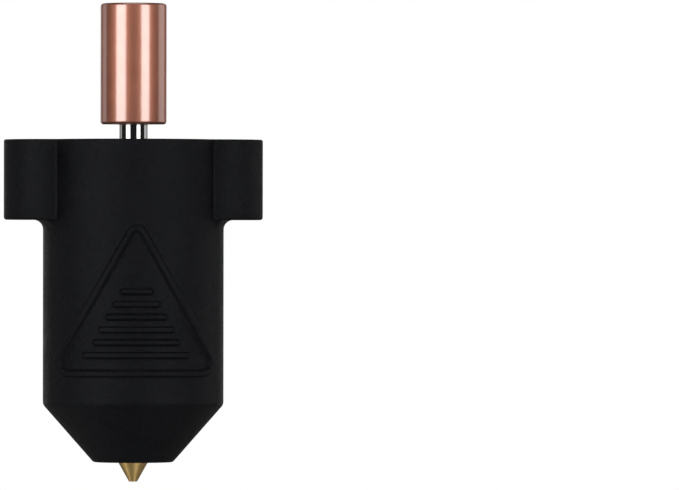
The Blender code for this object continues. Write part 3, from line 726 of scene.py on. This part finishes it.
def nozzle():
    """The brass nozzle: a threaded shank, a neck, a chamfered hexagon and a cone."""
    low, high = extent("nozzle")
    cone_r = TIP_R + (HEX_BOTTOM_Z + CONE_STEP - low.z) * math.tan(math.radians(CONE_HALF_DEG))
    thread_bottom = HEX_TOP_Z + 0.7
    shank_chamfer = 0.5
    profile = [(FILAMENT_R, high.z), (SHANK_R - shank_chamfer, high.z)]
    profile += rows(SHANK_R, high.z - 0.45, thread_bottom, step=0.06)
    profile += [(NECK_R, HEX_TOP_Z + 0.45), (NECK_R, HEX_TOP_Z - 0.4), (cone_r - 0.2, HEX_BOTTOM_Z + 0.4)]
    profile += [(cone_r - CONE_STEP, HEX_BOTTOM_Z + CONE_STEP)]
    profile += rounded([(cone_r, HEX_BOTTOM_Z, 0), (TIP_R, low.z, TIP_EDGE),
                        (TIP_BORE_R, low.z, TIP_BORE_EDGE)], steps=4)[:-1]
    tip_bore_top = low.z + 0.8
    funnel_top = low.z + 2.4
    profile += [(TIP_BORE_R, low.z + TIP_BORE_EDGE), (TIP_BORE_R, tip_bore_top), (FILAMENT_R, funnel_top)]
    groove = thread(pitch=1.0, depth=0.5, top=high.z + 0.3, bottom=thread_bottom)
    body = turned("nozzle_brass", profile, BRASS, groove, segments=180)
    cut(body, nozzle_hexagon(), operation="UNION")
    stands_for(body, "nozzle", "brass", "nozzle")


def nozzle_hexagon():
    """The hexagon with chamfered corners, hollow so that it joins the turned body outside the bore."""
    top = HEX_TOP_Z + CUT_MARGIN
    bottom = HEX_BOTTOM_Z - CUT_MARGIN
    ring = prism("nozzle_hexagon", hexagon(HEX_ACROSS), HEX_BOTTOM_Z, HEX_TOP_Z, BRASS)
    cut(ring, prism("nozzle_hole", circle(1.7, 60), bottom, top, BRASS))
    corner_r = HEX_ACROSS / 2 / math.cos(math.radians(30))
    widest_r = corner_r + 0.15
    outline = [(0, top), (corner_r - 1.55, top), (widest_r, HEX_TOP_Z - 0.2),
               (widest_r, HEX_BOTTOM_Z + 0.25), (corner_r - 1.9, bottom), (0, bottom)]
    return cut(ring, turned("hex_chamfer", outline, BRASS, segments=120), operation="INTERSECT")


# --- hot end under the sock ---

HEATER_BORE_R = 4.55
WRAP_BORE_R = 6.35
CAN_BORE_R = 7.3
CORE_SLEEVE_R = 4.5
CORE_BORE_R = 3.05
CORE_SEAT_Z = -21.3
FOOT_SEAT_Z = -15.6
FOOT_STEP_Z = -13.05
SMALL_SCREW_HOLE_R = 1.05
SMALL_SCREW_R = 0.95
SMALL_SCREW_TIP_R = 0.75
NOTCH_HALF = 2.6
CORE_NOTCH_Y = 6.15
SLIT_Y = 3.0
SLIT_RISE = 7.0
DISC_NOTCH_Y = 5.6


def screw_places():
    """Middles of the three flange screws, by node name."""
    nodes = ["flange_screw_" + side for side in ("front", "left", "right")]
    return {node: middle_of(*extent(node), "xy") for node in nodes}


def notch_tool(floor_y, low, high):
    """A tool that cuts a notch from floor_y out to the rear, between two levels."""
    outline = [(-NOTCH_HALF, floor_y), (NOTCH_HALF, floor_y), (NOTCH_HALF, BODY_R), (-NOTCH_HALF, BODY_R)]
    return prism("notch_tool", outline, low, high, NICKEL)


def core_profile(low, high, flange_bottom):
    """Half section of the core: flange, threaded sleeve, and the bores for the nozzle and the foot."""
    flange_edge = 0.25
    chamfer = 0.25
    profile = rounded([(high.x, high.z, flange_edge), (high.x, flange_bottom, flange_edge),
                       (CORE_SLEEVE_R, flange_bottom, 0.2)], steps=4)
    profile += rows(CORE_SLEEVE_R, flange_bottom - 0.5, low.z + 0.3, step=0.12)
    profile += [(CORE_SLEEVE_R - 0.3, low.z), (CORE_BORE_R + chamfer, low.z)]
    profile += [(CORE_BORE_R, low.z + chamfer), (CORE_BORE_R, CORE_SEAT_Z), (FILAMENT_R, CORE_SEAT_Z),
                (FILAMENT_R, FOOT_SEAT_Z), (CORE_BORE_R, FOOT_SEAT_Z)]
    mouth = rounded([(CORE_BORE_R, high.z, 0.2), (high.x, high.z, 0), (CORE_BORE_R, FOOT_SEAT_Z, 0)],
                    steps=3)
    return profile + mouth[:4]


def core():
    """The plated core with its screw holes, the sensor's hole, the grub screw's hole and the rear notch."""
    low, high = extent("heater_core")
    flange_bottom = extent("upper_washer")[1].z + GAP
    nut_top = extent("heater_retaining_nut")[1].z
    groove = thread(pitch=0.75, depth=0.3, top=nut_top + 0.5, bottom=low.z)
    body = turned("core_plated", core_profile(low, high, flange_bottom), NICKEL, groove)
    hole_bottom = high.z - 2.7
    tools = [prism("hole", circle(SMALL_SCREW_HOLE_R, 32, at), hole_bottom, high.z + CUT_MARGIN, NICKEL)
             for at in screw_places().values()]
    sensor_low, sensor_high = extent("thermistor_capsule")
    sensor_at = middle_of(sensor_low, sensor_high, "xz")
    tools.append(prism("hole", circle(0.9, 32, sensor_at), sensor_low.y - 0.1, BODY_R, NICKEL, axis="Y"))
    grub_at = middle_of(*extent("thermistor_grub_screw"), "yz")
    grub_hole = circle(SMALL_SCREW_HOLE_R, 32, grub_at)
    tools.append(prism("hole", grub_hole, sensor_at[0], BODY_R, NICKEL, axis="X"))
    tools.append(notch_tool(CORE_NOTCH_Y, flange_bottom - 0.3, high.z + 0.5))
    stands_for(cut(body, *tools), "hot_end", "nickel", "heater_core")


def ring_piece(name, node, inner, material, slot, edge=0.04, slit=None):
    """A ring as large as its node, with rounded edges and perhaps a slit at the rear above a level."""
    low, high = extent(node)
    profile = rounded([(high.x, high.z, edge), (high.x, low.z, edge), (inner, low.z, edge),
                       (inner, high.z, edge)], steps=3)
    piece = turned(name, profile, material)
    if slit:
        cut(piece, notch_tool(SLIT_Y, slit, high.z + CUT_MARGIN))
    stands_for(piece, "hot_end", slot, node)


def heater_stack():
    """Washers, ceramic ring, fibre wrap and can, which sit round the core's sleeve."""
    slit = extent("heater_retaining_nut")[1].z + SLIT_RISE
    ring_piece("washer_upper", "upper_washer", HEATER_BORE_R, MICA, "mica")
    ring_piece("washer_lower", "lower_washer", HEATER_BORE_R, MICA, "mica")
    ring_piece("heater_ring", "ceramic_heater", HEATER_BORE_R, CERAMIC, "ceramic", edge=0.25)
    ring_piece("fibre_wrap", "insulation_sleeve", WRAP_BORE_R, WOOL, "ceramic_wool", edge=0.12, slit=slit)
    ring_piece("heater_can", "heater_shell", CAN_BORE_R, CAN_STEEL, "polished_steel", edge=0.08, slit=slit)


def retaining_nut():
    """The ring nut under the can, chamfered below, with two crossed slots for a tool."""
    low, high = extent("heater_retaining_nut")
    edge = 0.15
    chamfer = 0.95
    profile = rounded([(high.x, high.z, edge), (high.x, low.z + 1.1, 0.2), (high.x - chamfer, low.z, edge),
                       (HEATER_BORE_R, low.z, edge), (HEATER_BORE_R, high.z, 0.1)], steps=4)
    nut = turned("nut_plated", profile, NICKEL)
    slot_half = 1.0
    slot_top = low.z + 0.8
    below = low.z - CUT_MARGIN
    outline = [(-slot_half, below), (slot_half, below), (slot_half, slot_top), (-slot_half, slot_top)]
    for axis in ("X", "Y"):
        cut(nut, prism("slot", outline, -9.0, 9.0, NICKEL, axis=axis))
    stands_for(nut, "hot_end", "nickel", "heater_retaining_nut")


def foot():
    """The foot that joins the throat to the core, with a driver slot across its collar."""
    low, high = extent("heat_break_foot")
    collar_bottom = extent("heater_core")[1].z + GAP
    throat_hole_r = 1.55
    throat_mouth_r = 1.65
    chamfer = 0.4
    profile = rounded([(high.x, high.z, 0.1), (high.x, collar_bottom, 0.05), (SHANK_R, collar_bottom, 0)],
                      steps=3)
    profile += [(SHANK_R, low.z + chamfer), (SHANK_R - chamfer, low.z), (FILAMENT_R, low.z),
                (FILAMENT_R, FOOT_STEP_Z), (throat_hole_r, FOOT_STEP_Z)]
    profile += [(throat_hole_r, high.z - 0.1), (throat_mouth_r, high.z)]
    piece = turned("foot_plated", profile, NICKEL)
    half_length = 5.0
    half = 0.5
    outline = [(-half_length, -half), (half_length, -half), (half_length, half), (-half_length, half)]
    cut(piece, prism("slot", outline, high.z - half, high.z + half, NICKEL))
    stands_for(piece, "hot_end", "nickel", "heat_break_foot")


def sensor_capsule():
    """The sensor's steel capsule, which lies along Y with its crimped end to the rear."""
    low, high = extent("thermistor_capsule")
    radius = (high.x - low.x) / 2
    crimp = 0.12
    profile = rounded([(0, high.y, 0), (radius * 0.62, high.y, 0.02), (radius * 0.7, high.y - crimp, 0.02),
                       (radius * 0.8, high.y, 0.03), (radius, high.y, 0.1), (radius, low.y, 0.3),
                       (0, low.y, 0)], steps=3)
    piece = turned("sensor_capsule", profile, STEEL, segments=64)
    x, z = middle_of(low, high, "xz")
    lay_down = Matrix.Rotation(math.radians(-90), 4, "X")
    piece.data.transform(Matrix.Translation((x * MM, 0, z * MM)) @ lay_down)
    stands_for(piece, "hot_end", "polished_steel", "thermistor_capsule")


def sensor_grub():
    """The grub screw that holds the capsule, which lies along X with its socket outwards."""
    low, high = extent("thermistor_grub_screw")
    chamfer = 0.12
    profile = [(0, high.x), (0.8, high.x)]
    profile += rows(SMALL_SCREW_R, high.x - chamfer, low.x + chamfer, step=0.03)
    profile += [(SMALL_SCREW_TIP_R, low.x), (0, low.x)]
    groove = thread(pitch=0.4, depth=0.14, top=high.x + 0.1, bottom=low.x)
    grub = turned("sensor_grub", profile, OXIDE, groove, segments=64)
    socket_bottom = high.x - 0.7
    cut(grub, prism("socket", hexagon(0.9, turn_deg=7.0), socket_bottom, high.x + CUT_MARGIN, OXIDE))
    y, z = middle_of(low, high, "yz")
    lay_down = Matrix.Rotation(math.radians(90), 4, "Y")
    grub.data.transform(Matrix.Translation((0, y * MM, z * MM)) @ lay_down)
    stands_for(grub, "hot_end", "black_steel", "thermistor_grub_screw")


def terminals():
    """The heater's two flat terminals, each with an eye near its top."""
    for side in ("left", "right"):
        node = "heater_terminal_" + side
        low, high = extent(node)
        half = (high.x - low.x) / 2
        outline = rounded([(-half, low.z, 0.15), (half, low.z, 0.15), (half, high.z, 0.35),
                           (-half, high.z, 0.35)], steps=5)
        middle = (low.x + high.x) / 2
        strip = prism("terminal_" + side, outline, low.y, high.y, NICKEL,
                      bevel=0.06, at=(middle, 0.0), axis="Y")
        eye = circle(0.28, 24, at=(middle, high.z - 0.75))
        cut(strip, prism("eye", eye, low.y - CUT_MARGIN, high.y + CUT_MARGIN, NICKEL, axis="Y"))
        stands_for(strip, "hot_end", "nickel", node)


def rear_notched_disc(radius, ears=None):
    """Outline of a disc with a notch at the rear and, with ears = (x, r), two obround ears."""
    notch_edge = math.acos(NOTCH_HALF / radius)
    start = math.asin(ears[1] / radius) if ears else 0.0
    right = [(radius * math.cos(a), radius * math.sin(a)) for a in np.linspace(start, notch_edge, 24)]
    upper = right + [(NOTCH_HALF, DISC_NOTCH_Y), (-NOTCH_HALF, DISC_NOTCH_Y)]
    upper += [(-x, y) for x, y in reversed(right)]
    lower = [(-radius * math.cos(a), -radius * math.sin(a)) for a in np.linspace(start, math.pi - start, 48)]
    if not ears:
        return upper + lower[1:-1]
    ends = np.linspace(-math.pi / 2, math.pi / 2, 25)
    right_end = [(ears[0] + ears[1] * math.cos(a), ears[1] * math.sin(a)) for a in ends]
    left_end = [(-x, -y) for x, y in right_end]
    return right_end + upper + left_end + lower


def drilled(plate, low, high, material, holes):
    """Drill holes, each given as (place, radius), through a plate and through the three screws' places."""
    holes = holes + [(at, SMALL_SCREW_HOLE_R) for at in screw_places().values()]
    bottom = low.z - CUT_MARGIN
    top = high.z + CUT_MARGIN
    return cut(plate, *[prism("hole", circle(r, 48, at), bottom, top, material) for at, r in holes])


def flange():
    """The steel plate whose ears carry the posts."""
    low, high = extent("mounting_flange")
    post_x = middle_of(*extent("post_right"), "x")[0]
    outline = rear_notched_disc(extent("heater_core")[1].x, ears=(post_x, high.x - post_x))
    plate = prism("flange_plate", outline, low.z, high.z, PLATE, bevel=0.12)
    post_hole_r = 2.0
    holes = [((0.0, 0.0), 2.2), ((post_x, 0.0), post_hole_r), ((-post_x, 0.0), post_hole_r)]
    stands_for(drilled(plate, low, high, PLATE, holes), "hot_end", "plate_steel", "mounting_flange")


def insulator():
    """The mica disc between the core and the plate."""
    low, high = extent("flange_insulator")
    disc = prism("insulator_disc", rear_notched_disc(high.x), low.z, high.z, MICA, bevel=0.06)
    foot_hole_r = 3.35
    disc = drilled(disc, low, high, MICA, [((0.0, 0.0), foot_hole_r)])
    stands_for(disc, "hot_end", "mica", "flange_insulator")


def posts():
    """The two threaded posts, each clinched into the plate by a narrower foot."""
    shoulder = extent("mounting_flange")[1].z + GAP
    bore_r = 1.25
    clinch_r = 1.95
    for side in ("left", "right"):
        node = "post_" + side
        low, high = extent(node)
        radius = (high.x - low.x) / 2
        profile = rounded([(bore_r + 0.3, high.z, 0.05), (radius, high.z, 0.2), (radius, shoulder, 0.08),
                           (clinch_r, shoulder, 0), (clinch_r, low.z, 0.1), (bore_r + 0.2, low.z, 0)],
                          steps=4)
        profile += rows(bore_r, low.z + 0.2, high.z - 0.3, step=0.05)
        groove = bore_thread(pitch=0.5, depth=0.22, top=high.z, bottom=low.z, bore_r=bore_r)
        at = ((low.x + high.x) / 2, 0.0)
        post = turned("standoff_" + side, profile, PLATE, groove, segments=96, at=at)
        stands_for(post, "hot_end", "plate_steel", node)


def flange_screws():
    """The three socket screws that hold the plate and the insulator on the core."""
    seat = extent("mounting_flange")[1].z + GAP
    for node, at in screw_places().items():
        low, high = extent(node)
        head_r = (high.x - low.x) / 2
        profile = rounded([(0, high.z, 0), (head_r, high.z, 0.45), (head_r, seat, 0.1),
                           (SMALL_SCREW_R, seat, 0)], steps=5)
        profile += rows(SMALL_SCREW_R, seat - 0.3, low.z + 0.2, step=0.05)
        profile += [(SMALL_SCREW_TIP_R, low.z), (0, low.z)]
        groove = thread(pitch=0.4, depth=0.15, top=seat - 0.3, bottom=low.z)
        name = "screw_" + node.removeprefix("flange_screw_")
        screw = turned(name, profile, OXIDE, groove, segments=72, at=at)
        socket_bottom = high.z - 0.8
        socket = prism("socket", hexagon(1.5, at=at), socket_bottom, high.z + CUT_MARGIN, OXIDE)
        stands_for(cut(screw, socket), "hot_end", "black_steel", node)


# --- studio ---

FLOOR_Z = -130.0
FLOOR_RADIUS = 2600.0
FLOOR_GLOW = 0.6
SURROUND_WHITE = (1.0, 1.0, 1.0, 1.0)
SURROUND_REFLECTED = (0.015, 0.015, 0.015, 1.0)


def floor():
    """A pale sheet, clear when seen from below. Its glow shows to the camera only and lights nothing."""
    made = Surface("floor_pale", colour=(0.45, 0.45, 0.45), roughness=0.6, specular=0.2)
    made.colours(made.noise(size_mm=60.0), dark=(0.44, 0.44, 0.435), light=(0.46, 0.46, 0.455))
    ray = made.tree.nodes.new("ShaderNodeLightPath")
    glow = made.ranged(ray.outputs["Is Camera Ray"], 0.0, FLOOR_GLOW, from_low=0.0, from_high=1.0)
    made.shader.inputs["Emission Color"].default_value = SURROUND_WHITE
    made.link(glow, made.shader.inputs["Emission Strength"])
    side = made.tree.nodes.new("ShaderNodeNewGeometry")
    clear = made.tree.nodes.new("ShaderNodeBsdfTransparent")
    choose = made.tree.nodes.new("ShaderNodeMixShader")
    made.link(side.outputs["Backfacing"], choose.inputs["Fac"])
    made.link(made.shader.outputs["BSDF"], choose.inputs[1])
    made.link(clear.outputs["BSDF"], choose.inputs[2])
    made.link(choose.outputs["Shader"], made.tree.nodes["Material Output"].inputs["Surface"])
    mesh = bpy.data.meshes.new("floor")
    outline = [(x * MM, y * MM, FLOOR_Z * MM) for x, y in circle(FLOOR_RADIUS, 96)]
    mesh.from_pydata(outline, [], [list(range(len(outline)))])
    mesh.materials.append(made.material)
    sheet = bpy.data.objects.new("floor", mesh)
    bpy.context.scene.collection.objects.link(sheet)


def softbox(name, azimuth, elevation, width_deg, height, distance, brightness, centre_z=0.0):
    """A rectangular lamp facing the axis at centre_z. Azimuth 0 is the front, positive to the right."""
    width = 2 * distance * math.tan(math.radians(width_deg / 2))
    lamp = bpy.data.lights.new(name, "AREA")
    lamp.shape = "RECTANGLE"
    lamp.size = width * MM
    lamp.size_y = height * MM
    lamp.energy = brightness * math.pi * width * height * MM * MM
    turn = math.radians(azimuth)
    rise = math.radians(elevation)
    direction = Vector((math.sin(turn) * math.cos(rise), -math.cos(turn) * math.cos(rise), math.sin(rise)))
    obj = bpy.data.objects.new(name, lamp)
    obj.location = (direction * distance + Vector((0, 0, centre_z))) * MM
    obj.rotation_euler = direction.to_track_quat("Z", "Y").to_euler()
    obj.visible_camera = False
    bpy.context.scene.collection.objects.link(obj)


def studio_lights():
    """Tall softboxes all round, one overhead, and two small ones low down that pick out the nozzle's cone."""
    softbox("front_left", azimuth=-47.0, elevation=0.0, width_deg=36.0,
            height=900.0, distance=700.0, brightness=2.25)
    softbox("front_right", azimuth=39.5, elevation=0.0, width_deg=30.0,
            height=900.0, distance=700.0, brightness=2.25)
    softbox("side_left", azimuth=-125.0, elevation=0.0, width_deg=26.0,
            height=900.0, distance=800.0, brightness=0.42)
    softbox("side_right", azimuth=115.0, elevation=0.0, width_deg=38.0,
            height=900.0, distance=800.0, brightness=0.55)
    softbox("rear", azimuth=180.0, elevation=0.0, width_deg=50.0,
            height=900.0, distance=900.0, brightness=0.7)
    softbox("overhead", azimuth=0.0, elevation=78.0, width_deg=50.0,
            height=500.0, distance=900.0, brightness=0.7)
    tip_z = extent("nozzle")[0].z
    softbox("low_right", azimuth=41.0, elevation=-54.0, width_deg=20.0,
            height=45.0, distance=90.0, brightness=0.75, centre_z=tip_z)
    softbox("low_left", azimuth=-88.0, elevation=-43.0, width_deg=20.0,
            height=45.0, distance=100.0, brightness=0.8, centre_z=tip_z)


def backdrop():
    """A white surround for the camera, and a dim even grey for what the surfaces reflect."""
    world = bpy.data.worlds.new("studio")
    bpy.context.scene.world = world
    world.use_nodes = True
    tree = world.node_tree
    tree.nodes.clear()
    seen = tree.nodes.new("ShaderNodeBackground")
    seen.inputs["Color"].default_value = SURROUND_WHITE
    dim = tree.nodes.new("ShaderNodeBackground")
    dim.inputs["Color"].default_value = SURROUND_REFLECTED
    ray = tree.nodes.new("ShaderNodeLightPath")
    choose = tree.nodes.new("ShaderNodeMixShader")
    output = tree.nodes.new("ShaderNodeOutputWorld")
    tree.links.new(ray.outputs["Is Camera Ray"], choose.inputs["Fac"])
    tree.links.new(dim.outputs["Background"], choose.inputs[1])
    tree.links.new(seen.outputs["Background"], choose.inputs[2])
    tree.links.new(choose.outputs["Shader"], output.inputs["Surface"])


CAMERA_DISTANCE = 950.0
CAMERA_AZIMUTH = -2.2
CAMERA_ROLL = 0.08
FRAME_WIDTH = 71.8
FRAME_CENTRE_RIGHT = 21.8
FRAME_CENTRE_Z = -11.115
SENSOR_WIDTH = 36.0


def camera():
    """Level, slightly to the left of the front, and aimed so that the object stands left in the frame."""
    lens = bpy.data.cameras.new("camera")
    lens.sensor_width = SENSOR_WIDTH
    lens.lens = SENSOR_WIDTH * CAMERA_DISTANCE / FRAME_WIDTH
    lens.clip_start = 0.01
    lens.clip_end = 20.0
    obj = bpy.data.objects.new("camera", lens)
    turn = math.radians(CAMERA_AZIMUTH)
    position = Vector((math.sin(turn), -math.cos(turn), 0)) * CAMERA_DISTANCE
    position.z = FRAME_CENTRE_Z
    right = Vector((math.cos(turn), math.sin(turn), 0))
    target = right * FRAME_CENTRE_RIGHT + Vector((0, 0, FRAME_CENTRE_Z))
    facing = (target - position).to_track_quat("-Z", "Y")
    roll = Matrix.Rotation(math.radians(CAMERA_ROLL), 3, "Z").to_quaternion()
    obj.location = position * MM
    obj.rotation_euler = (facing @ roll).to_euler()
    bpy.context.scene.collection.objects.link(obj)
    bpy.context.scene.camera = obj


bpy.context.scene.view_settings.view_transform = "Standard"
camera()
silicone_sock()
cooling_sleeve()
throat()
nozzle()
core()
heater_stack()
retaining_nut()
foot()
sensor_capsule()
sensor_grub()
terminals()
flange()
insulator()
posts()
flange_screws()
floor()
studio_lights()
backdrop()
